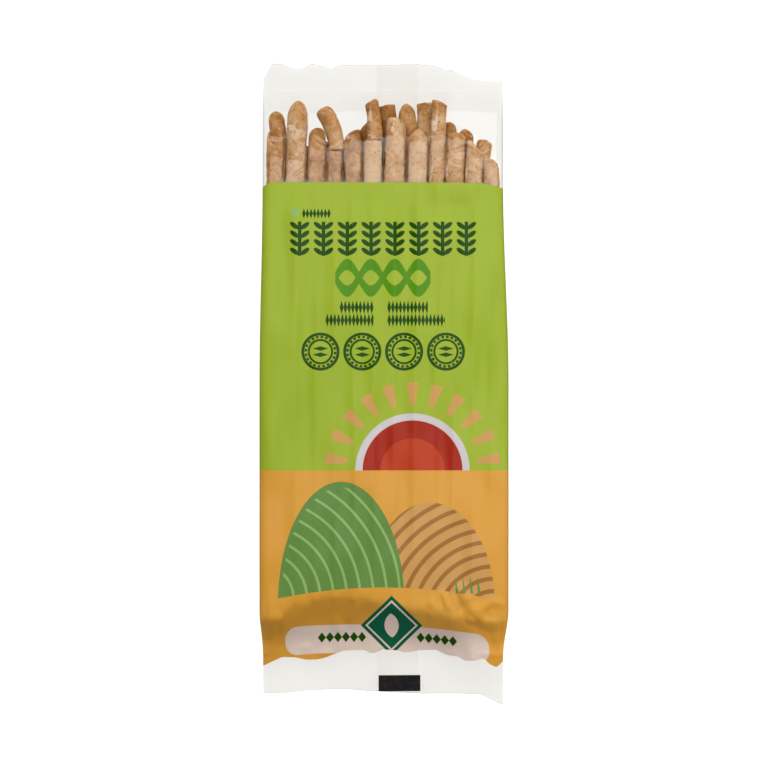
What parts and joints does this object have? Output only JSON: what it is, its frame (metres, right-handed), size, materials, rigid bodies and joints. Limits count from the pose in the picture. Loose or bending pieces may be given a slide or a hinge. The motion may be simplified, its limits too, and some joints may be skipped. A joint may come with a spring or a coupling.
{
  "type": "packet of grissini breadsticks",
  "caption": "Flat sealed film packet of thin breadsticks: clear head showing the stick tips, printed green and amber body, flat seal at each end, lying on its back.",
  "frame": {"origin": "on the surface the packet lies on, under the middle of its outline", "axes": "+Y along the packet towards its clear head end, +Z out of the printed front, up as it lies, +X to the right seen from the front"},
  "size_m": [0.105, 0.2712, 0.017],
  "materials": {
    "printed_film": "thin packaging film, satin gloss, printed in green above and amber below",
    "clear_film": "thin clear packaging film, glossy, creased",
    "bread": "baked bread crust, matt, finely pitted, with bran specks"
  },
  "bodies": {
    "root": {"pack": "printed_film"}
  },
  "joints": []
}
